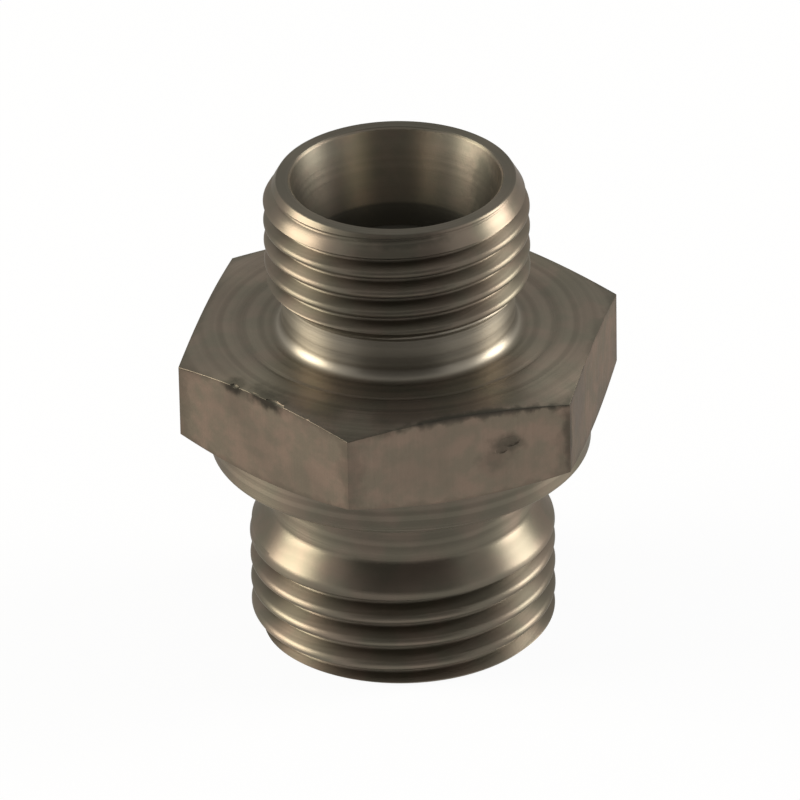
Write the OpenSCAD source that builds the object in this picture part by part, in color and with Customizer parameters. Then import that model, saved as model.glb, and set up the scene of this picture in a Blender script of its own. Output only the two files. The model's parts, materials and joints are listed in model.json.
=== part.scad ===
// Straight male stud fitting, turned from hexagon bar in one piece.
// The axis is Z. The origin is the centre of the stud's end face, and the tube end points up.

/* [Stud] */
// Outside diameter of the stud thread, G 1/2 A
stud_thread_d = 20.955; // [18:0.005:23]
// Pitch of the stud thread, 14 turns to the inch
stud_pitch = 1.814; // [1:0.002:2.2]
// Length of the stud, from its end face to the sealing face of the collar
stud_l = 13.5; // [11:0.1:18]
// Height of the chamfer at the stud's end
stud_chamfer_l = 0.5; // [0.2:0.1:1.2]
// Length of the plain neck between the run-out cone and the collar
stud_neck_l = 4.4; // [2:0.1:5]

/* [Collar] */
// Outside diameter of the round collar
collar_d = 26; // [25.2:0.1:26.4]
// Height of the collar, from its sealing face to the hexagon
collar_l = 2.4; // [1.2:0.1:4]
// Width of the flat sealing ring at the collar's rim
seal_w = 1.2; // [0.8:0.1:1.6]
// Depth of the recess inside the sealing ring
seal_recess = 0.4; // [0.1:0.05:0.8]
// Width of the broken edge at the collar's rim
collar_break = 0.3; // [0.1:0.05:0.6]

/* [Hexagon] */
// Width across the spanner flats
hex_af = 27; // [26.8:0.1:30]
// Height of the hexagon
hex_l = 6.7; // [5:0.1:12]
// Diameter at which the corner chamfers start, on both faces
hex_chamfer_d = 26.1; // [25.6:0.1:28]
// Angle of the upper corner chamfers to the hexagon's upper face
hex_upper_angle = 14; // [10:1:35]
// Angle of the lower corner chamfers to the hexagon's lower face
hex_lower_angle = 19; // [10:1:35]

/* [Tube end] */
// Outside diameter of the nut thread, M18 x 1.5
tube_thread_d = 18; // [17.2:0.05:19]
// Pitch of the nut thread
tube_pitch = 1.5; // [1:0.05:1.75]
// Length of the tube end, from the hexagon to its end face
tube_end_l = 11.2; // [10:0.1:16]
// Length of the plain neck between the hexagon and the nut thread
tube_neck_l = 3; // [2:0.1:4.5]
// Radius of the fillets at the feet of both necks
neck_fillet = 0.8; // [0.3:0.1:1]
// How far both necks lie below the thread roots
neck_relief = 0.15; // [0.05:0.01:0.4]

/* [Passage] */
// Outside diameter of the tube that the fitting holds
tube_d = 12; // [11:0.1:12.6]
// Radial clearance of the tube in its socket
tube_clearance = 0.1; // [0.05:0.01:0.2]
// Depth of the tube stop below the end face
socket_depth = 7; // [6.6:0.1:9]
// Diameter of the tube cone at its mouth
cone_mouth_d = 14.3; // [14:0.05:14.6]
// Included angle of the tube cone
cone_angle = 24; // [22:1:30]
// Diameter of the flow passage
bore_d = 10; // [6:0.1:10.6]
// Width of the broken edges at both ends of the passage
bore_break = 0.15; // [0.05:0.05:0.3]

/* [Hidden] */
$fn = 96;

// Thread depth as a share of the pitch, for each thread form
pipe_thread_share = 0.6403;
metric_thread_share = 0.6134;
// Slopes of the run-out cones and of the nut thread's lead-in, measured from the axis
stud_run_out_angle = 37;
tube_run_out_angle = 45;
lead_in_angle = 30;
// How far each turned section reaches into its neighbour, and how far the corner cones run on past
// the hexagon's faces and corners
join_over = 0.5;
cone_over = 0.2;
// Overrun that lets a cut pass clean through a face
cut_over = 1;

stud_r = stud_thread_d / 2;
stud_root_r = stud_r - pipe_thread_share * stud_pitch;
stud_neck_r = stud_root_r - neck_relief;
stud_run_out_l = (stud_r - stud_neck_r) / tan(stud_run_out_angle);
stud_thread_top = stud_l - stud_neck_l - stud_run_out_l;

tube_r = tube_thread_d / 2;
tube_root_r = tube_r - metric_thread_share * tube_pitch;
tube_neck_r = tube_root_r - neck_relief;
tube_run_out_l = (tube_r - tube_neck_r) / tan(tube_run_out_angle);
lead_in_l = (tube_r - tube_root_r) / tan(lead_in_angle);

collar_r = collar_d / 2;
hex_bottom = stud_l + collar_l;
hex_top = hex_bottom + hex_l;
thread_foot = hex_top + tube_neck_l;
total_l = hex_top + tube_end_l;
hex_corner_r = hex_af / 2 / cos(30);
hex_chamfer_r = hex_chamfer_d / 2;
hex_cone_w = hex_corner_r + cone_over - hex_chamfer_r;
recess_top = stud_l + seal_recess;

socket_r = tube_d / 2 + tube_clearance;
cone_mouth_r = cone_mouth_d / 2;
cone_l = (cone_mouth_r - socket_r) / tan(cone_angle / 2);
bore_r = bore_d / 2;

// Material left in the corner between an upright neck and the face above or below it
module corner_fillet(radius, side) {
  translate([radius, 0]) mirror([0, side < 0 ? 1 : 0]) difference() {
    translate([-neck_fillet, -join_over]) square([2 * neck_fillet, neck_fillet + join_over]);
    translate([neck_fillet, neck_fillet]) circle(neck_fillet);
  }
}

// Threaded stud with its end chamfer, its run-out cone and its neck
module stud() {
  rotate_extrude() {
    polygon([
      [0, 0],
      [stud_r - stud_chamfer_l, 0],
      [stud_r, stud_chamfer_l],
      [stud_r, stud_thread_top],
      [stud_neck_r, stud_thread_top + stud_run_out_l],
      [stud_neck_r, recess_top + join_over],
      [0, recess_top + join_over]
    ]);
    translate([0, recess_top]) corner_fillet(stud_neck_r, -1);
  }
}

// Round collar: a flat sealing ring at its rim, and a shallow recess between the ring and the neck
module collar() {
  seal_outer_r = collar_r - collar_break;
  seal_inner_r = seal_outer_r - seal_w;
  rotate_extrude() polygon([
    [0, recess_top],
    [seal_inner_r - seal_recess, recess_top],
    [seal_inner_r, stud_l],
    [seal_outer_r, stud_l],
    [collar_r, stud_l + collar_break],
    [collar_r, hex_bottom + join_over],
    [0, hex_bottom + join_over]
  ]);
}

// Spanner hexagon, with the corners of both faces turned to a shallow cone
module hexagon() {
  intersection() {
    translate([0, 0, hex_bottom]) cylinder(r = hex_corner_r, h = hex_l, $fn = 6);
    rotate_extrude() polygon([
      [0, hex_bottom - cone_over],
      [hex_chamfer_r - cone_over / tan(hex_lower_angle), hex_bottom - cone_over],
      [hex_chamfer_r + hex_cone_w, hex_bottom + hex_cone_w * tan(hex_lower_angle)],
      [hex_chamfer_r + hex_cone_w, hex_top - hex_cone_w * tan(hex_upper_angle)],
      [hex_chamfer_r - cone_over / tan(hex_upper_angle), hex_top + cone_over],
      [0, hex_top + cone_over]
    ]);
  }
}

// Tube end: neck, run-out cone, nut thread and its lead-in
module tube_end() {
  rotate_extrude() {
    polygon([
      [0, hex_top - join_over],
      [tube_neck_r, hex_top - join_over],
      [tube_neck_r, thread_foot],
      [tube_r, thread_foot + tube_run_out_l],
      [tube_r, total_l - lead_in_l],
      [tube_root_r, total_l],
      [0, total_l]
    ]);
    translate([0, hex_top]) corner_fillet(tube_neck_r, 1);
  }
}

// Everything that is bored out: flow passage, tube stop, tube socket and tube cone
module passage() {
  tube_stop = total_l - socket_depth;
  cone_foot = total_l - bore_break - cone_l;
  rotate_extrude() polygon([
    [0, -cut_over],
    [bore_r + bore_break + cut_over, -cut_over],
    [bore_r, bore_break],
    [bore_r, tube_stop],
    [socket_r, tube_stop],
    [socket_r, cone_foot],
    [cone_mouth_r, total_l - bore_break],
    [cone_mouth_r + bore_break + cut_over, total_l + cut_over],
    [0, total_l + cut_over]
  ]);
}

module fitting_body() {
  color([0.42, 0.38, 0.33]) difference() {
    union() {
      stud();
      collar();
      hexagon();
      tube_end();
    }
    passage();
  }
}

fitting_body();
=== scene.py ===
import json
import math
import random

import bmesh
import bpy
from mathutils import Matrix, Vector


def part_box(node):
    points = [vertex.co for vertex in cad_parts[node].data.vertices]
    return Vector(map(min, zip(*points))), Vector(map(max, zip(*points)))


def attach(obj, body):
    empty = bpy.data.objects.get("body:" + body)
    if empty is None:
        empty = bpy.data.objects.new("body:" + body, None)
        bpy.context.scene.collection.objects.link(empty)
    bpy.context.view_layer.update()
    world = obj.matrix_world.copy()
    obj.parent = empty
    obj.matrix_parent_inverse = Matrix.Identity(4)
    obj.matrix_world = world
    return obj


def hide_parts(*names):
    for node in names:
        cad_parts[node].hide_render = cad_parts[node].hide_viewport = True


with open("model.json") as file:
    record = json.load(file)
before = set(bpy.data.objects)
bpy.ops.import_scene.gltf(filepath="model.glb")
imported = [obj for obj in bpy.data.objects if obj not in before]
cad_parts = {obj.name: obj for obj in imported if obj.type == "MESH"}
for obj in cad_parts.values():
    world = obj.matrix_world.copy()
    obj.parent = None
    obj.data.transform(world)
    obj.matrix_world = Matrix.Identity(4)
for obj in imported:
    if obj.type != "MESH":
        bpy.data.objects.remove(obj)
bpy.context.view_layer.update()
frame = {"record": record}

# Modelling is done in millimetres, and the finished piece is scaled to metres once.
millimetre = 0.001
fittingLow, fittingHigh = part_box("fitting_body")
totalHeight = (fittingHigh.z - fittingLow.z) / millimetre
acrossFlats = (fittingHigh.y - fittingLow.y) / millimetre
mounts = {mount["name"]: mount for mount in frame["record"]["mounts"]}


def mountRadius(name):
    return mounts[name]["dims"]["r_mm"]


def mountHeight(name):
    return mounts[name]["pos_m"][2] / millimetre


def mountSpan(name):
    # Lowest and highest point of a shaft's or a bore's wall.
    half = mounts[name]["dims"]["length_mm"] / 2
    return mountHeight(name) - half, mountHeight(name) + half


# The directions that the hexagon's flats face, and how far out its corners are
flatAngles = [math.radians(30 + 60 * side) for side in range(6)]
cornerRadius = acrossFlats / 2 / math.cos(math.radians(30))

print("frame loaded, height", round(totalHeight, 2), "mm, across flats", round(acrossFlats, 2), "mm")


# Small tools for modelling. Points closer than the first of these are merged, and a place or a
# direction is right within the second.
mergeDistance = 0.0005
tolerance = 0.001


def deselectAll():
    if bpy.context.object and bpy.context.object.mode != "OBJECT":
        bpy.ops.object.mode_set(mode="OBJECT")
    bpy.ops.object.select_all(action="DESELECT")


def activate(obj):
    deselectAll()
    obj.select_set(True)
    bpy.context.view_layer.objects.active = obj


def startEdit(obj, selectMode="VERT"):
    activate(obj)
    bpy.ops.object.mode_set(mode="EDIT")
    bpy.ops.mesh.select_mode(type=selectMode)


def endEdit():
    bpy.ops.object.mode_set(mode="OBJECT")


def selectWhere(kind, test):
    # Selects the vertices, edges or faces of the mesh in edit mode that pass the test.
    bpy.ops.mesh.select_all(action="DESELECT")
    mesh = bmesh.from_edit_mesh(bpy.context.object.data)
    for part in getattr(mesh, kind):
        if test(part):
            part.select_set(True)
    bmesh.update_edit_mesh(bpy.context.object.data)


def applyModifier(obj, kind, **settings):
    activate(obj)
    modifier = obj.modifiers.new(kind.lower(), kind)
    for key, value in settings.items():
        setattr(modifier, key, value)
    bpy.ops.object.modifier_apply(modifier=modifier.name)


def closeShell(obj):
    # Doubles go first, then the normals are turned outward.
    startEdit(obj)
    bpy.ops.mesh.select_all(action="SELECT")
    bpy.ops.mesh.remove_doubles(threshold=mergeDistance)
    bpy.ops.mesh.normals_make_consistent(inside=False)
    endEdit()


def drawOutline(name, corners):
    # Each corner is (radius, height) or (radius, height, rounding). The outline is drawn point by
    # point in the XZ plane and closed, then its corners are rounded.
    deselectAll()
    bpy.ops.mesh.primitive_plane_add(size=1)
    outline = bpy.context.object
    outline.name = name
    startEdit(outline)
    bpy.ops.mesh.select_all(action="SELECT")
    bpy.ops.mesh.merge(type="CENTER")
    places = [Vector((corner[0], 0, corner[1])) for corner in corners]
    bpy.ops.transform.translate(value=places[0])
    for here, there in zip(places, places[1:] + places[:1]):
        bpy.ops.mesh.extrude_region_move(TRANSFORM_OT_translate={"value": there - here})
    bpy.ops.mesh.select_all(action="SELECT")
    bpy.ops.mesh.remove_doubles(threshold=mergeDistance)
    for number, corner in enumerate(corners):
        if len(corner) < 3:
            continue
        place = places[number]
        before = (places[number - 1] - place).normalized()
        after = (places[(number + 1) % len(places)] - place).normalized()
        turn = math.pi - before.angle(after)
        selectWhere("verts", lambda vert: (vert.co - place).length < tolerance)
        bpy.ops.mesh.bevel(
            offset=corner[2] * math.tan(turn / 2),
            segments=max(2, round(turn / math.radians(15))),
            affect="VERTICES",
        )
    endEdit()
    return outline


def cutAway(blank, cutter):
    activate(blank)
    modifier = blank.modifiers.new("cut", "BOOLEAN")
    modifier.operation = "DIFFERENCE"
    modifier.solver = "EXACT"
    modifier.object = cutter
    bpy.ops.object.modifier_apply(modifier=modifier.name)
    bpy.data.objects.remove(cutter)


# The turned blank

blankSizes = {
    "steps": 180,              # round the axis, a multiple of six
    "studChamfer": 0.5,
    "studNeckRadius": 9.17,
    "studNeckStart": 9.1,
    "collarRadius": 13.0,
    "sealRecess": 0.4,
    "sealWidth": 1.2,
    "edgeBreak": 0.3,
    "hexBottom": 15.9,
    "hexTop": 22.6,
    "cornerConeRadius": 13.05, # where the corners' cones start, on both faces
    "cornerOver": 0.2,         # how far the turned disc reaches past the corners
    "upperConeAngle": 14,
    "lowerConeAngle": 19,
    "flatEdgeRounding": 0.04,
    "leastFlatArea": 20,       # every other face is smaller
    "ringRadius": 10.6,        # faint ring turned into the top face
    "ringWidth": 0.5,
    "ringDepth": 0.045,
    "neckRadius": 7.93,
    "neckFillet": 0.8,
    "rimRadius": 8.08,
    "mouthRadius": 7.15,
    "mouthBreak": 0.15,
}


def turnBlank(sizes):
    studRadius = mountRadius("stud_thread")
    tubeRadius = mountRadius("tube_thread")
    boreRadius = mountRadius("flow_passage")
    socketRadius = mountRadius("tube_socket")
    studTop = mountSpan("stud_thread")[1]
    crestFoot, crestTop = mountSpan("tube_thread")
    tubeStop, coneFoot = mountSpan("tube_socket")
    sealHeight = mountHeight("seal_face")
    neckTop = crestFoot - (tubeRadius - sizes["neckRadius"])
    discRadius = cornerRadius + sizes["cornerOver"]
    coneWidth = discRadius - sizes["cornerConeRadius"]
    upperDrop = coneWidth * math.tan(math.radians(sizes["upperConeAngle"]))
    lowerDrop = coneWidth * math.tan(math.radians(sizes["lowerConeAngle"]))
    sealOuter = sizes["collarRadius"] - sizes["edgeBreak"]
    sealInner = sealOuter - sizes["sealWidth"]
    recessTop = sealHeight + sizes["sealRecess"]
    ringInner = sizes["ringRadius"] - sizes["ringWidth"] / 2
    ringOuter = sizes["ringRadius"] + sizes["ringWidth"] / 2
    hexTop = sizes["hexTop"]
    hexBottom = sizes["hexBottom"]
    mouthBreak = sizes["mouthBreak"]
    blank = drawOutline("fittingBody", [
        (boreRadius + mouthBreak, 0),
        (studRadius - sizes["studChamfer"], 0, 0.1),
        (studRadius, sizes["studChamfer"], 0.1),
        (studRadius, studTop, 0.6),
        (sizes["studNeckRadius"], sizes["studNeckStart"], 0.5),
        (sizes["studNeckRadius"], recessTop, sizes["neckFillet"]),
        (sealInner - sizes["sealRecess"], recessTop),
        (sealInner, sealHeight),
        (sealOuter, sealHeight, 0.1),
        (sizes["collarRadius"], sealHeight + sizes["edgeBreak"], 0.2),
        (sizes["collarRadius"], hexBottom, 0.1),
        (sizes["cornerConeRadius"], hexBottom),
        (discRadius, hexBottom + lowerDrop),
        (discRadius, hexTop - upperDrop),
        (sizes["cornerConeRadius"], hexTop),
        (ringOuter, hexTop, 0.3),
        (sizes["ringRadius"], hexTop - sizes["ringDepth"], 0.3),
        (ringInner, hexTop, 0.3),
        (sizes["neckRadius"], hexTop, sizes["neckFillet"]),
        (sizes["neckRadius"], neckTop, 0.3),
        (tubeRadius, crestFoot),
        (tubeRadius, crestTop),
        (sizes["rimRadius"], totalHeight, 0.12),
        (sizes["mouthRadius"] + mouthBreak, totalHeight),
        (sizes["mouthRadius"], totalHeight - mouthBreak),
        (socketRadius, coneFoot),
        (socketRadius, tubeStop),
        (boreRadius, tubeStop),
        (boreRadius, mouthBreak),
    ])
    startEdit(blank)
    bpy.ops.mesh.select_all(action="SELECT")
    bpy.ops.mesh.spin(steps=sizes["steps"], angle=2 * math.pi, center=(0, 0, 0), axis=(0, 0, 1))
    endEdit()
    closeShell(blank)
    return blank


def isFlat(face, leastArea):
    sideways = Vector((face.normal.x, face.normal.y, 0))
    return (
        abs(face.normal.z) < tolerance
        and abs(face.calc_center_median().dot(sideways) - acrossFlats / 2) < tolerance
        and face.calc_area() > leastArea
    )


def cutHexagon(blank, sizes):
    # Nothing but the hexagon's disc reaches as far out as the six planes.
    startEdit(blank, "FACE")
    for angle in flatAngles:
        outward = Vector((math.cos(angle), math.sin(angle), 0))
        bpy.ops.mesh.select_all(action="SELECT")
        bpy.ops.mesh.bisect(
            plane_co=outward * acrossFlats / 2, plane_no=outward, use_fill=True, clear_outer=True,
        )
    bpy.ops.mesh.select_mode(type="EDGE")
    leastArea = sizes["leastFlatArea"]
    selectWhere("edges", lambda edge: any(isFlat(face, leastArea) for face in edge.link_faces))
    bpy.ops.mesh.bevel(
        offset=sizes["flatEdgeRounding"], segments=3, affect="EDGES", clamp_overlap=True,
    )
    endEdit()


# The two threads, both right-handed

studThread = {
    "pitch": 1.814,
    "halfAngle": 27.5,
    "crestRounding": 0.38,
    "depth": 1.06,
    "grooveAtPlusX": -2.358,   # height of the groove's centre where the coil starts, on +X
    "turns": 6,
    "fadeStart": 6.725,        # the tool leaves the work between these heights
    "fadeEnd": 7.9,
    "fadeOver": 0.1,           # how far it ends up clear of the crests
    "steps": 180,
}
tubeThread = {
    "pitch": 1.5,
    "halfAngle": 30,
    "crestRounding": 0.3,
    "depth": 0.83,
    "grooveAtPlusX": 24.85,
    "turns": 7,
    "steps": 180,
}


# Section of both grooves: steps in each rounding, slope in degrees at which the crest's rounding
# ends, and how far the cutter reaches past the crests
grooveSection = {"steps": 4, "crestSlope": 5, "over": 0.6}


def grooveOutline(thread, crestRadius, section):
    # Half of the groove's section, from its root to the crest's middle, then its mirror image.
    pitch = thread["pitch"]
    steps = section["steps"]
    halfAngle = math.radians(thread["halfAngle"])
    slope = math.radians(90 - thread["halfAngle"])
    crestSlope = math.radians(section["crestSlope"])
    crestRounding = thread["crestRounding"]
    cutShare = 1 / math.sin(halfAngle) - 1
    sharpDepth = pitch / 2 / math.tan(halfAngle)
    rootRounding = (sharpDepth - thread["depth"]) / cutShare - crestRounding
    rootRadius = crestRadius - thread["depth"]
    half = []
    for step in range(1, steps + 1):
        turn = slope * step / steps
        radius = rootRadius + rootRounding * (1 - math.cos(turn))
        half.append((radius, rootRounding * math.sin(turn)))
    for step in range(steps + 1):
        turn = slope + (crestSlope - slope) * step / steps
        radius = crestRadius - crestRounding * (1 - math.cos(turn))
        half.append((radius, pitch / 2 - crestRounding * math.sin(turn)))
    half.append((crestRadius + section["over"], half[-1][1]))
    below = [(radius, -height) for radius, height in reversed(half)]
    return below + [(rootRadius, 0)] + half


def fadeOut(groove, thread):
    # The tool moves outwards between two heights, until the groove has run out.
    for vert in groove.data.vertices:
        share = (vert.co.z - thread["fadeStart"]) / (thread["fadeEnd"] - thread["fadeStart"])
        share = min(max(share, 0), 1)
        lift = (thread["depth"] + thread["fadeOver"]) * share * share * (3 - 2 * share)
        radius = math.hypot(vert.co.x, vert.co.y)
        vert.co.x *= 1 + lift / radius
        vert.co.y *= 1 + lift / radius


def chaseThread(blank, thread, crestRadius):
    section = grooveOutline(thread, crestRadius, grooveSection)
    groove = drawOutline("groove", [
        (radius, height + thread["grooveAtPlusX"]) for radius, height in section
    ])
    applyModifier(
        groove, "SCREW", axis="Z", angle=2 * math.pi, screw_offset=thread["pitch"],
        iterations=thread["turns"], steps=thread["steps"], render_steps=thread["steps"],
        use_merge_vertices=False,
    )
    startEdit(groove)
    bpy.ops.mesh.select_all(action="SELECT")
    bpy.ops.mesh.fill_holes(sides=0)
    bpy.ops.mesh.normals_make_consistent(inside=False)
    endEdit()
    if "fadeStart" in thread:
        fadeOut(groove, thread)
    cutAway(blank, groove)


# Nicks on the front-left flat's upper edge, a bright one among them, a dent in the front flat and a
# nick in the mouth: place, half lengths along, across and upwards, and the direction they run in
nicks = [
    {"place": (-12.98, -4.52, 22.5), "reach": (0.45, 0.26, 0.2), "turn": -60},
    {"place": (-12.1, -6.04, 22.58), "reach": (0.75, 0.18, 0.14), "turn": -60},
    {"place": (-11.1, -7.78, 22.56), "reach": (0.95, 0.26, 0.2), "turn": -60},
    {"place": (-9.62, -10.42, 22.38), "reach": (0.5, 0.1, 0.1), "turn": -60},
    {"place": (3.55, -13.52, 19.95), "reach": (0.75, 0.1, 0.42), "turn": 0},
    {"place": (2.95, -13.52, 19.45), "reach": (0.5, 0.08, 0.35), "turn": 0},
    {"place": (-5.95, -4.0, 33.78), "reach": (0.3, 0.2, 0.14), "turn": -56},
]


# The ball that knocks a nick is uneven by these shares.
nickUnevenness = (0.93, 1.07)


def knockNick(body, nick, seed):
    deselectAll()
    bpy.ops.mesh.primitive_ico_sphere_add(subdivisions=3, radius=1)
    dent = bpy.context.object
    rough = random.Random(seed)
    for vert in dent.data.vertices:
        vert.co *= rough.uniform(*nickUnevenness)
    dent.scale = nick["reach"]
    dent.rotation_euler = (0, 0, math.radians(nick["turn"]))
    dent.location = nick["place"]
    bpy.ops.object.transform_apply(location=True, rotation=True, scale=True)
    cutAway(body, dent)


def finishPiece(piece, smoothAngle=33):
    closeShell(piece)
    activate(piece)
    bpy.ops.object.shade_smooth_by_angle(angle=math.radians(smoothAngle))
    applyModifier(piece, "WEIGHTED_NORMAL", keep_sharp=True, weight=60)
    activate(piece)
    piece.scale = (millimetre, millimetre, millimetre)
    bpy.ops.object.transform_apply(location=True, rotation=True, scale=True)


fittingBody = turnBlank(blankSizes)
cutHexagon(fittingBody, blankSizes)
print("blank turned and hexagon cut,", len(fittingBody.data.polygons), "faces")
chaseThread(fittingBody, tubeThread, mountRadius("tube_thread"))
print("tube thread cut,", len(fittingBody.data.polygons), "faces")
chaseThread(fittingBody, studThread, mountRadius("stud_thread"))
print("stud thread cut,", len(fittingBody.data.polygons), "faces")
for seed, nick in enumerate(nicks):
    knockNick(fittingBody, nick, seed)
print("nicks knocked in,", len(fittingBody.data.polygons), "faces")
finishPiece(fittingBody)
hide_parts("fitting_body")
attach(fittingBody, "root")


# Materials. Their groups work in millimetres, in the piece's own coordinates.

def feed(tree, socket, value):
    # A socket is linked, and anything else is written in.
    if isinstance(value, bpy.types.NodeSocket):
        tree.links.new(value, socket)
    else:
        socket.default_value = value


def compute(tree, operation, *values):
    node = tree.nodes.new("ShaderNodeMath")
    node.operation = operation
    for socket, value in zip(node.inputs, values):
        feed(tree, socket, value)
    return node.outputs[0]


def times(tree, *values):
    return compute(tree, "MULTIPLY", *values)


def plus(tree, *values):
    return compute(tree, "ADD", *values)


def minus(tree, *values):
    return compute(tree, "SUBTRACT", *values)


def strongest(tree, masks):
    most = masks[0]
    for mask in masks[1:]:
        most = compute(tree, "MAXIMUM", most, mask)
    return most


def computeVector(tree, operation, *values):
    node = tree.nodes.new("ShaderNodeVectorMath")
    node.operation = operation
    for socket, value in zip(node.inputs, values):
        feed(tree, socket, value)
    return node


def ramp(tree, value, low, high, atLow=0, atHigh=1):
    node = tree.nodes.new("ShaderNodeMapRange")
    node.interpolation_type = "SMOOTHSTEP"
    numbers = {"Value": value, "From Min": low, "From Max": high, "To Min": atLow, "To Max": atHigh}
    for label, number in numbers.items():
        feed(tree, node.inputs[label], number)
    return node.outputs["Result"]


def between(tree, value, low, lowFull, highFull, high):
    # 1 from lowFull to highFull, and 0 below low and above high.
    rising = ramp(tree, value, low, lowFull)
    return times(tree, rising, ramp(tree, value, highFull, high, 1, 0))


def blendColours(tree, share, first, second, how="MIX"):
    # The Mix node keeps its colours in sockets 6 and 7, and gives their blend in output 2.
    node = tree.nodes.new("ShaderNodeMix")
    node.data_type = "RGBA"
    node.blend_type = how
    feed(tree, node.inputs[0], share)
    feed(tree, node.inputs[6], first)
    feed(tree, node.inputs[7], second)
    return node.outputs[2]


def cloud(tree, place, size, detail=2):
    # Noise whose patches are about the given size across, in millimetres.
    node = tree.nodes.new("ShaderNodeTexNoise")
    feed(tree, node.inputs["Vector"], place)
    feed(tree, node.inputs["Scale"], compute(tree, "DIVIDE", 1, size))
    node.inputs["Detail"].default_value = detail
    return node.outputs[0]


def rings(tree, along, perMm, detail):
    # Noise along one line, with about so many rings to the millimetre.
    node = tree.nodes.new("ShaderNodeTexNoise")
    node.noise_dimensions = "1D"
    node.inputs["Scale"].default_value = 1
    node.inputs["Detail"].default_value = detail
    feed(tree, node.inputs["W"], times(tree, along, perMm))
    return node.outputs[0]


def startGroup(name, inputs, outputs):
    # Both dictionaries give each socket's kind: Float, Vector or Color.
    group = bpy.data.node_groups.new(name, "ShaderNodeTree")
    for side, sockets in (("INPUT", inputs), ("OUTPUT", outputs)):
        for label, kind in sockets.items():
            group.interface.new_socket(label, in_out=side, socket_type="NodeSocket" + kind)
    taken = group.nodes.new("NodeGroupInput").outputs
    return group, taken, group.nodes.new("NodeGroupOutput").inputs


def placeGroup(tree, group, **values):
    # Labels are written as one word here: patchSize fills the socket "Patch size".
    node = tree.nodes.new("ShaderNodeGroup")
    node.node_tree = group
    for socket in node.inputs:
        words = socket.name.split()
        key = words[0].lower() + "".join(word.capitalize() for word in words[1:])
        if key in values:
            feed(tree, socket, values[key])
    return node.outputs


def buildPiecePlace():
    # Where a point lies: in millimetres, as radius and height, and its distance across the flats.
    group, _, out = startGroup(
        "piecePlace", {}, {"Place": "Vector", "Radius": "Float", "Height": "Float", "Across": "Float"},
    )
    coordinates = group.nodes.new("ShaderNodeTexCoord")
    scaled = computeVector(group, "SCALE", coordinates.outputs["Object"])
    scaled.inputs["Scale"].default_value = 1 / millimetre
    place = scaled.outputs[0]
    split = group.nodes.new("ShaderNodeSeparateXYZ")
    feed(group, split.inputs[0], place)
    flat = computeVector(group, "MULTIPLY", place, (1, 1, 0)).outputs[0]
    reaches = []
    for angle in flatAngles[:3]:
        outward = (math.cos(angle), math.sin(angle), 0)
        along = computeVector(group, "DOT_PRODUCT", flat, outward).outputs["Value"]
        reaches.append(compute(group, "ABSOLUTE", along))
    feed(group, out["Place"], place)
    feed(group, out["Radius"], computeVector(group, "LENGTH", flat).outputs["Value"])
    feed(group, out["Height"], split.outputs["Z"])
    feed(group, out["Across"], strongest(group, reaches))
    return group


def buildTurningMarks(piecePlace, bandsPerMm=1.3):
    # Rings left by the lathe tool: a height for the bump, and a slow and a fast change in tone.
    group, inputs, out = startGroup(
        "turningMarks", {"Lines per mm": "Float"},
        {"Height": "Float", "Band": "Float", "Line": "Float"},
    )
    spot = placeGroup(group, piecePlace)
    wander = times(group, cloud(group, spot["Place"], 6, 1), 0.25)
    along = plus(group, plus(group, spot["Radius"], spot["Height"]), wander)
    line = rings(group, along, inputs["Lines per mm"], 3)
    band = ramp(group, rings(group, along, bandsPerMm, 1), 0.3, 0.7)
    feed(group, out["Band"], band)
    feed(group, out["Line"], line)
    feed(group, out["Height"], plus(group, line, times(group, band, 0.8)))
    return group


def buildSteelTint(piecePlace):
    # Steel that is olive grey in places and brownish pink in others, with wider darker clouds.
    group, inputs, out = startGroup("steelTint", {
        "Olive": "Color", "Pink": "Color", "Dark": "Color",
        "Patch size": "Float", "Cloud share": "Float",
    }, {"Colour": "Color", "Patch": "Float"})
    spot = placeGroup(group, piecePlace)
    patch = ramp(group, cloud(group, spot["Place"], inputs["Patch size"], 3), 0.35, 0.65)
    cloudSize = times(group, inputs["Patch size"], 3.1)
    wide = ramp(group, cloud(group, spot["Place"], cloudSize), 0.38, 0.72)
    tint = blendColours(group, patch, inputs["Olive"], inputs["Pink"])
    clouded = times(group, wide, inputs["Cloud share"])
    feed(group, out["Colour"], blendColours(group, clouded, tint, inputs["Dark"]))
    feed(group, out["Patch"], wide)
    return group


def buildRootDarkening(piecePlace, rootMargin=0.3):
    # 1 at a thread's roots and 0 at its crests, between two heights, broken up a little. The bore,
    # which lies well below the roots, has none.
    group, inputs, out = startGroup("grooveGrime", {
        "Root radius": "Float", "Crest radius": "Float", "Low": "Float", "High": "Float",
    }, {"Mask": "Float"})
    spot = placeGroup(group, piecePlace)
    deep = ramp(group, spot["Radius"], inputs["Root radius"], inputs["Crest radius"], 1, 0)
    above = compute(group, "GREATER_THAN", spot["Height"], inputs["Low"])
    below = compute(group, "LESS_THAN", spot["Height"], inputs["High"])
    innermost = minus(group, inputs["Root radius"], rootMargin)
    outside = compute(group, "GREATER_THAN", spot["Radius"], innermost)
    within = times(group, times(group, above, below), outside)
    broken = ramp(group, cloud(group, spot["Place"], 2.2), 0.25, 0.6, 0.55, 1)
    feed(group, out["Mask"], times(group, times(group, deep, within), broken))
    return group


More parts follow.
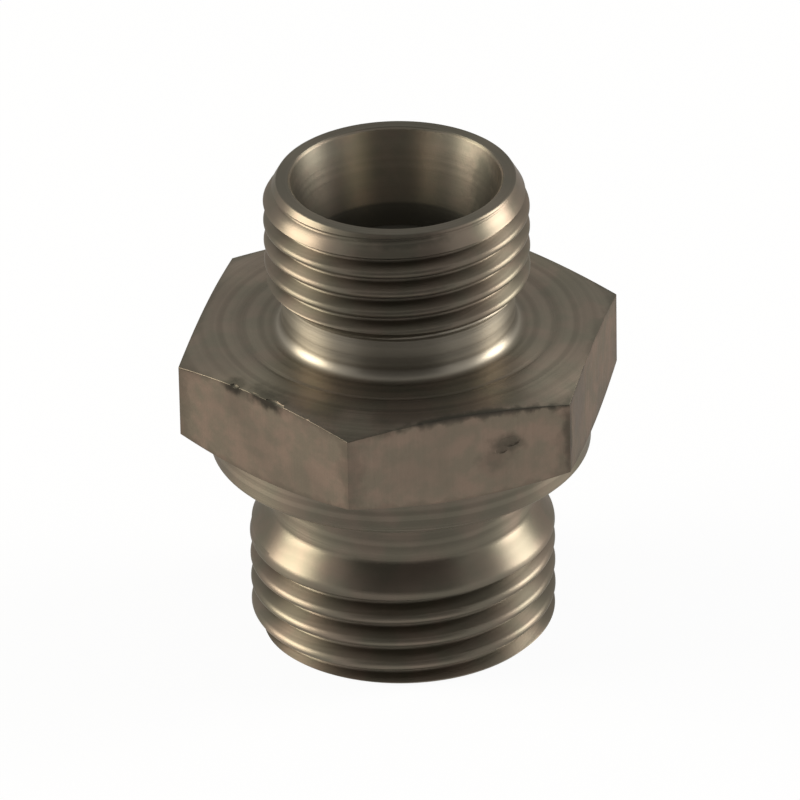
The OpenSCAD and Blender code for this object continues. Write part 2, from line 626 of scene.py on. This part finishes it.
def buildHexagonEdges(piecePlace, sizes):
    # Dark lines along the hexagon's upper and lower edges and down its corners.
    group, inputs, out = startGroup(
        "hexagonEdges", {"Width": "Float"},
        {"Top line": "Float", "Foot line": "Float", "Corner line": "Float"},
    )
    upperSlope = math.tan(math.radians(sizes["upperConeAngle"]))
    lowerSlope = math.tan(math.radians(sizes["lowerConeAngle"]))
    spot = placeGroup(group, piecePlace)
    past = minus(group, spot["Radius"], sizes["cornerConeRadius"])
    overhang = compute(group, "MAXIMUM", past, 0)
    toFlat = compute(group, "ABSOLUTE", minus(group, acrossFlats / 2, spot["Across"]))
    topEdge = minus(group, sizes["hexTop"], times(group, overhang, upperSlope))
    footEdge = plus(group, sizes["hexBottom"], times(group, overhang, lowerSlope))
    toTop = compute(group, "ABSOLUTE", minus(group, topEdge, spot["Height"]))
    toFoot = compute(group, "ABSOLUTE", minus(group, spot["Height"], footEdge))
    toCorner = minus(group, cornerRadius, spot["Radius"])
    uneven = ramp(group, cloud(group, spot["Place"], 1.1, 3), 0.3, 0.7, 0.25, 1.5)
    width = times(group, inputs["Width"], uneven)
    feed(group, out["Top line"], ramp(group, plus(group, toTop, toFlat), 0, width, 1, 0))
    feed(group, out["Foot line"], ramp(group, plus(group, toFoot, toFlat), 0, width, 1, 0))
    feed(group, out["Corner line"], ramp(group, toCorner, 0, width, 1, 0))
    return group


def buildDarkPatch(piecePlace):
    # Soft dark patch round one place, with a ragged rim. In the cone these patches are painted dark
    # reflections.
    group, inputs, out = startGroup("scuff", {"Centre": "Vector", "Reach": "Vector"}, {"Mask": "Float"})
    spot = placeGroup(group, piecePlace)
    offset = computeVector(group, "SUBTRACT", spot["Place"], inputs["Centre"]).outputs[0]
    shares = computeVector(group, "DIVIDE", offset, inputs["Reach"]).outputs[0]
    ragged = times(group, cloud(group, spot["Place"], 0.7, 3), 0.9)
    distance = plus(group, computeVector(group, "LENGTH", shares).outputs["Value"], ragged)
    feed(group, out["Mask"], ramp(group, distance, 0.7, 1.45, 1, 0))
    return group


turnedFinish = {
    "olive": (0.14, 0.125, 0.094, 1),
    "pink": (0.168, 0.135, 0.104, 1),
    "dark": (0.105, 0.095, 0.074, 1),
    "clean": (0.27, 0.244, 0.197, 1),    # painted highlight: lighter steel in the upper neck, which brightens its reflections
    "dull": (0.075, 0.07, 0.056, 1),     # painted shade on the rim's end face and the hexagon's top
    "grime": (0.05, 0.047, 0.037, 1),
    "edge": (0.68, 0.66, 0.63, 1),       # share of the gloss that is left at a grazing angle
    "patchSize": 2.4,
    "cloudShare": 0.5,
    "linesPerMm": 7,
    "bandTone": (0.88, 1.08),
    "topDullness": 0.2,
    "rimDullness": 0.75,
    "studGrime": 0.12,
    "tubeGrime": 0.1,
    "edgeLine": 0.55,                    # width of the dark line along the hexagon's upper edge
    "roughness": 0.37,
    "lineRoughness": 0.08,
    "grimeRoughness": 0.12,
    "anisotropy": 0.78,
    "markDepth": 0.01,
}
flatFinish = {
    "olive": (0.172, 0.142, 0.105, 1),
    "pink": (0.212, 0.157, 0.118, 1),
    "dark": (0.135, 0.11, 0.082, 1),
    "grime": (0.04, 0.035, 0.028, 1),
    "edge": (0.48, 0.47, 0.46, 1),
    "patchSize": 1.5,
    "cloudShare": 0.55,
    "edgeLine": 0.6,
    "cornerGrime": 0.3,
    "footGrime": 0.25,
    "rimLine": 0.16,                     # painted shade: a narrow dark line all round the top, over the edge's rounding
    "rimGrime": 0.75,
    "grainSize": 0.22,
    "grainStretch": (1, 1, 0.06),        # the bar was drawn along Z
    "pitSize": 0.5,
    "roughness": 0.37,
    "grainRoughness": 0.12,
    "patchRoughness": -0.08,
    "markDepth": 0.02,
}
# Bored steel: its colours are lighter than the turned steel's, as painted light inside the bore.
boredFinishAndPaintedLight = {
    "olive": (0.26, 0.24, 0.19, 1),
    "pink": (0.3, 0.255, 0.205, 1),
    "dark": (0.2, 0.18, 0.145, 1),
    "grime": (0.07, 0.068, 0.055, 1),
    "edge": (0.4, 0.38, 0.35, 1),
    "patchSize": 2,
    "cloudShare": 0.5,
    "linesPerMm": 6,
    "bandTone": (0.96, 1.03),
    # Painted shade deeper down the bore and in the socket
    "depthGrime": 0.75,
    "socketGrime": 0.85,
    "roughness": 0.34,
    "lineRoughness": 0.08,
    "grimeRoughness": 0.15,
    "anisotropy": 0.6,
    "markDepth": 0.003,
}
# Smudges on and round the dent and the nicks, and dark patches along the front flat's upright
# edges and on the lead-in at the front
scuffMarks = [
    {"centre": (3.3, -13.5, 19.8), "reach": (1.7, 1, 1.1), "share": 0.6},
    {"centre": (2.5, -13.5, 18.8), "reach": (1.7, 1, 1.5), "share": 0.3},
    {"centre": (-13, -4.5, 22.4), "reach": (1.2, 1.5, 0.85), "share": 0.95},
    {"centre": (-11.5, -7, 22.4), "reach": (1.9, 2.8, 0.85), "share": 0.95},
    {"centre": (7.8, -13.5, 19.3), "reach": (0.8, 1, 4.6), "share": 0.65},
    {"centre": (-7.5, -13.5, 19.2), "reach": (1.2, 1, 4.5), "share": 0.28},
    {"centre": (-2.2, -8.1, 33.3), "reach": (4.6, 2.6, 0.55), "share": 0.5},
]
# Painted dark reflections at the left and right ends of the tube cone
paintedConeReflections = [
    {"centre": (6.6, 1.1, 31), "reach": (2, 3, 4.5), "share": 0.8},
    {"centre": (6.2, -2, 31.5), "reach": (1.8, 2.2, 4), "share": 0.6},
    {"centre": (-5.8, 3.3, 31), "reach": (1.6, 2.2, 4.5), "share": 0.7},
    {"centre": (-6.8, 0.4, 31.5), "reach": (1.6, 2.4, 4), "share": 0.55},
]
# The stretch of the front flat's upper edge that is dark all along
darkEdge = {"centre": (2.2, -13.5, 22.3), "reach": (9.5, 2, 3)}


def placeDarkPatches(tree, marks):
    masks = []
    for mark in marks:
        mask = placeGroup(tree, scuff, centre=mark["centre"], reach=mark["reach"])["Mask"]
        masks.append(times(tree, mask, mark["share"]))
    return masks


def edgeShare(tree):
    # How dark the line along the hexagon's upper edge is, from place to place.
    region = placeGroup(tree, scuff, **darkEdge)["Mask"]
    return ramp(tree, region, 0, 1, 0.25, 0.95)


def startMaterial(name, finish):
    material = bpy.data.materials.new(name)
    material.use_nodes = True
    tree = material.node_tree
    shader = tree.nodes["Principled BSDF"]
    shader.inputs["Metallic"].default_value = 1
    shader.inputs["Specular Tint"].default_value = finish["edge"]
    tint = placeGroup(
        tree, steelTint, olive=finish["olive"], pink=finish["pink"], dark=finish["dark"],
        patchSize=finish["patchSize"], cloudShare=finish["cloudShare"],
    )
    return material, tree, shader, tint


def alignGrain(tree, shader, anisotropy):
    # The lathe's lines run round the axis, so a highlight is drawn out along it.
    tangent = tree.nodes.new("ShaderNodeTangent")
    tangent.direction_type = "RADIAL"
    tangent.axis = "Z"
    shader.inputs["Anisotropic"].default_value = anisotropy
    shader.inputs["Anisotropic Rotation"].default_value = 0.25
    feed(tree, shader.inputs["Tangent"], tangent.outputs[0])


def addBump(tree, shader, height, distance, strength=1):
    bump = tree.nodes.new("ShaderNodeBump")
    bump.inputs["Strength"].default_value = strength
    bump.inputs["Distance"].default_value = distance * millimetre
    feed(tree, bump.inputs["Height"], height)
    feed(tree, shader.inputs["Normal"], bump.outputs[0])


def placeRootDarkening(tree, mount, thread, crestInset, low, high):
    radius = mountRadius(mount)
    return placeGroup(
        tree, grooveGrime, rootRadius=radius - thread["depth"], crestRadius=radius - crestInset,
        low=low, high=high,
    )["Mask"]


def finishLathed(tree, shader, marks, base, grime, finish):
    # What turned and bored steel have in common: tone, roughness and grain follow the tool's rings.
    tone = ramp(tree, marks["Band"], 0, 1, *finish["bandTone"])
    toned = blendColours(tree, 1, base, tone, "MULTIPLY")
    # The darkening joins smudges and marks with painted shade; in the bore it is all painted shade.
    feed(tree, shader.inputs["Base Color"], blendColours(tree, grime, toned, finish["grime"]))
    rough = plus(tree, finish["roughness"], times(tree, marks["Line"], finish["lineRoughness"]))
    rough = plus(tree, rough, times(tree, grime, finish["grimeRoughness"]))
    feed(tree, shader.inputs["Roughness"], rough)
    addBump(tree, shader, marks["Height"], finish["markDepth"])
    alignGrain(tree, shader, finish["anisotropy"])


def makeTurnedSteel(finish, sizes):
    material, tree, shader, tint = startMaterial("turnedSteel", finish)
    spot = placeGroup(tree, piecePlace)
    height = spot["Height"]
    marks = placeGroup(tree, turningMarks, linesPerMm=finish["linesPerMm"])
    studHigh = mountSpan("stud_thread")[1]
    tubeLow, tubeHigh = mountSpan("tube_thread")
    studGrime = placeRootDarkening(
        tree, "stud_thread", studThread, crestInset=0.15, low=0.3, high=studHigh + 0.6,
    )
    tubeGrime = placeRootDarkening(
        tree, "tube_thread", tubeThread, crestInset=0.1, low=tubeLow - 0.6, high=tubeHigh + 0.5,
    )
    edges = placeGroup(tree, hexagonEdges, width=finish["edgeLine"])
    grime = strongest(tree, placeDarkPatches(tree, scuffMarks) + [
        times(tree, studGrime, finish["studGrime"]),
        times(tree, tubeGrime, finish["tubeGrime"]),
        times(tree, edges["Top line"], edgeShare(tree)),
    ])
    top = sizes["hexTop"]
    alongNeck = between(tree, height, top - 0.02, top + 0.25, tubeLow - 0.9, tubeLow - 0.2)
    inNeck = times(tree, alongNeck, ramp(tree, spot["Radius"], 8.6, 9, 1, 0))
    onTop = between(tree, height, top - 0.7, top - 0.6, top + 0.02, top + 0.2)
    onRim = ramp(tree, height, totalHeight - 0.09, totalHeight - 0.03)
    # Painted highlight: the upper neck takes a lighter steel colour, which brightens its reflections.
    base = blendColours(tree, inNeck, tint["Colour"], finish["clean"])
    # Painted shade: the hexagon's top face and the rim's end face are darkened.
    base = blendColours(tree, times(tree, onTop, finish["topDullness"]), base, finish["dull"])
    base = blendColours(tree, times(tree, onRim, finish["rimDullness"]), base, finish["dull"])
    finishLathed(tree, shader, marks, base, grime, finish)
    return material


def makeFlatSteel(finish):
    material, tree, shader, tint = startMaterial("flatSteel", finish)
    place = placeGroup(tree, piecePlace)["Place"]
    edges = placeGroup(tree, hexagonEdges, width=finish["edgeLine"])
    rims = placeGroup(tree, hexagonEdges, width=finish["rimLine"])
    grime = strongest(tree, placeDarkPatches(tree, scuffMarks) + [
        # Painted shade over the top edge's rounding, all round.
        times(tree, rims["Top line"], finish["rimGrime"]),
        times(tree, edges["Top line"], edgeShare(tree)),
        times(tree, edges["Corner line"], finish["cornerGrime"]),
        times(tree, edges["Foot line"], finish["footGrime"]),
    ])
    feed(tree, shader.inputs["Base Color"], blendColours(tree, grime, tint["Colour"], finish["grime"]))
    drawn = computeVector(tree, "MULTIPLY", place, finish["grainStretch"]).outputs[0]
    grain = cloud(tree, drawn, finish["grainSize"], 3)
    pits = cloud(tree, place, finish["pitSize"], 4)
    rough = plus(tree, finish["roughness"], times(tree, grain, finish["grainRoughness"]))
    rough = plus(tree, rough, times(tree, tint["Patch"], finish["patchRoughness"]))
    feed(tree, shader.inputs["Roughness"], rough)
    addBump(tree, shader, plus(tree, grain, pits), finish["markDepth"])
    return material


def makeBoredSteelPaintedLight(finish):
    # Painted light: the bore's steel is lighter than the turned steel.
    material, tree, shader, tint = startMaterial("boredSteel", finish)
    height = placeGroup(tree, piecePlace)["Height"]
    marks = placeGroup(tree, turningMarks, linesPerMm=finish["linesPerMm"])
    socketLow, socketHigh = mountSpan("tube_socket")
    # Painted shade: the bore darkens deeper down, and the socket below the cone is darker still.
    deepDown = ramp(tree, height, socketLow - 4, totalHeight - 2, 1, 0)
    inSocket = ramp(tree, height, socketHigh - 0.3, socketHigh + 0.1, 1, 0)
    # The cone's patches are painted dark reflections.
    grime = strongest(tree, placeDarkPatches(tree, paintedConeReflections) + [
        times(tree, deepDown, finish["depthGrime"]),
        times(tree, inSocket, finish["socketGrime"]),
    ])
    finishLathed(tree, shader, marks, tint["Colour"], grime, finish)
    return material


def dressFaces(piece, sizes, slack=0.3):
    # The six flats are drawn bar, the inside is bored, and all else is turned.
    mesh = piece.data
    mesh.materials.clear()
    mesh.materials.append(makeTurnedSteel(turnedFinish, sizes))
    mesh.materials.append(makeFlatSteel(flatFinish))
    mesh.materials.append(makeBoredSteelPaintedLight(boredFinishAndPaintedLight))
    toFlats = acrossFlats / 2
    mouthRadius = sizes["mouthRadius"] + 0.02
    for face in mesh.polygons:
        centre = face.center / millimetre
        radius = math.hypot(centre.x, centre.y)
        across = max(
            abs(centre.x * math.cos(angle) + centre.y * math.sin(angle)) for angle in flatAngles[:3]
        )
        upright = abs(face.normal.z) < 0.5
        inward = face.normal.x * centre.x + face.normal.y * centre.y < 0
        if upright and abs(across - toFlats) < slack and radius > toFlats - slack:
            face.material_index = 1
        elif radius < mountRadius("tube_socket") or inward and radius < mouthRadius:
            face.material_index = 2


piecePlace = buildPiecePlace()
turningMarks = buildTurningMarks(piecePlace)
steelTint = buildSteelTint(piecePlace)
grooveGrime = buildRootDarkening(piecePlace)
hexagonEdges = buildHexagonEdges(piecePlace, blankSizes)
scuff = buildDarkPatch(piecePlace)
dressFaces(fittingBody, blankSizes)
print("steel dressed")


# Studio: pale floor, two soft boxes, two dark cards that only the steel reflects, and the camera

studio = {
    "aimHeight": 0.01654,
    "cameraAzimuth": -16.8,
    "cameraElevation": 29.6,
    "cameraDistance": 0.668,
    "lens": 441,
    "roll": -1.1,
    "clip": (0.01, 10),
    "floorSize": 3,
    "floorColour": (0.8, 0.8, 0.8, 1),
    "boxDistance": 0.45,
    "boxElevation": 19,
    "leftBox": {"azimuth": -108, "size": (0.26, 0.26), "power": 2.85, "colour": (1, 0.93, 0.8)},
    "rightBox": {"azimuth": 84, "size": (0.2, 0.26), "power": 2.4, "colour": (1, 0.96, 0.9)},
    "highCard": (0.9, 29.6, 1.5, 1.0),   # distance, elevation, width, height
    "lowCard": (0.12, 0, 0.2, 0.036),
    "floorGlow": 0.94,         # share of the floor that shows as plain white
    "roomLight": 0.4,
    "cardGrey": 0.2,
}


def around(azimuth, elevation, distance):
    # Azimuth 0 is on -Y, as in the frame's own views.
    turn = math.radians(azimuth)
    rise = math.radians(elevation)
    return distance * Vector((
        math.sin(turn) * math.cos(rise), -math.cos(turn) * math.cos(rise), math.sin(rise),
    ))


def setCamera(settings):
    target = Vector((0, 0, settings["aimHeight"]))
    back = around(settings["cameraAzimuth"], settings["cameraElevation"], 1)
    bpy.ops.object.camera_add(location=target + back * settings["cameraDistance"])
    camera = bpy.context.object
    camera.rotation_mode = "QUATERNION"
    level = (-back).to_track_quat("-Z", "Y")
    roll = Matrix.Rotation(math.radians(settings["roll"]), 3, "Z").to_quaternion()
    camera.rotation_quaternion = level @ roll
    camera.data.lens = settings["lens"]
    camera.data.clip_start, camera.data.clip_end = settings["clip"]
    bpy.context.scene.camera = camera


def addSoftBox(name, box, settings):
    target = Vector((0, 0, settings["aimHeight"]))
    back = around(box["azimuth"], settings["boxElevation"], 1)
    deselectAll()
    bpy.ops.object.light_add(type="AREA", location=target + back * settings["boxDistance"])
    lamp = bpy.context.object
    lamp.name = name
    lamp.rotation_mode = "QUATERNION"
    lamp.rotation_quaternion = (-back).to_track_quat("-Z", "Y")
    lamp.data.shape = "RECTANGLE"
    lamp.data.size, lamp.data.size_y = box["size"]
    lamp.data.energy = box["power"]
    lamp.data.color = box["colour"]


def addDarkCard(name, place, settings):
    # It is on the camera's side, and a card at elevation 0 stands on the floor.
    distance, elevation, width, height = place
    back = around(settings["cameraAzimuth"], elevation, 1)
    middle = height / 2 if elevation == 0 else settings["aimHeight"]
    deselectAll()
    bpy.ops.mesh.primitive_plane_add(size=1)
    card = bpy.context.object
    card.name = name
    card.rotation_mode = "QUATERNION"
    card.rotation_quaternion = back.to_track_quat("Z", "Y")
    card.location = Vector((0, 0, middle)) + back * distance
    card.scale = (width, height, 1)
    material = bpy.data.materials.new(name)
    material.use_nodes = True
    nodes = material.node_tree.nodes
    nodes.clear()
    glow = nodes.new("ShaderNodeEmission")
    glow.inputs["Strength"].default_value = settings["cardGrey"]
    output = nodes.new("ShaderNodeOutputMaterial")
    material.node_tree.links.new(glow.outputs[0], output.inputs["Surface"])
    card.data.materials.append(material)
    card.visible_camera = False
    card.visible_diffuse = False
    card.visible_shadow = False


def backgroundRays(tree):
    # 1 for the rays that show the background: from the camera, off metal or through glass.
    path = tree.nodes.new("ShaderNodeLightPath").outputs
    return strongest(tree, [path["Is Camera Ray"], path["Is Glossy Ray"], path["Is Transmission Ray"]])


def addFloor(settings):
    deselectAll()
    bpy.ops.mesh.primitive_plane_add(size=settings["floorSize"])
    floor = bpy.context.object
    floor.name = "floor"
    material = bpy.data.materials.new("paleFloor")
    material.use_nodes = True
    tree = material.node_tree
    tree.nodes.clear()
    paper = tree.nodes.new("ShaderNodeBsdfDiffuse")
    paper.inputs["Color"].default_value = settings["floorColour"]
    glow = tree.nodes.new("ShaderNodeEmission")
    glow.inputs["Strength"].default_value = 1
    mix = tree.nodes.new("ShaderNodeMixShader")
    output = tree.nodes.new("ShaderNodeOutputMaterial")
    feed(tree, mix.inputs["Fac"], times(tree, backgroundRays(tree), settings["floorGlow"]))
    feed(tree, mix.inputs[1], paper.outputs[0])
    feed(tree, mix.inputs[2], glow.outputs[0])
    feed(tree, output.inputs["Surface"], mix.outputs[0])
    floor.data.materials.append(material)


def setWorld(settings):
    world = bpy.data.worlds.new("studio")
    bpy.context.scene.world = world
    world.use_nodes = True
    tree = world.node_tree
    strength = tree.nodes.new("ShaderNodeMapRange")
    strength.inputs["To Min"].default_value = settings["roomLight"]
    strength.inputs["To Max"].default_value = 1
    feed(tree, strength.inputs["Value"], backgroundRays(tree))
    background = tree.nodes["Background"]
    background.inputs["Color"].default_value = (1, 1, 1, 1)
    feed(tree, background.inputs["Strength"], strength.outputs[0])


setCamera(studio)
addFloor(studio)
for name in ("leftBox", "rightBox"):
    addSoftBox(name, studio[name], studio)
for name in ("highCard", "lowCard"):
    addDarkCard(name, studio[name], studio)
setWorld(studio)
bpy.context.scene.view_settings.view_transform = "Standard"
print("studio ready")
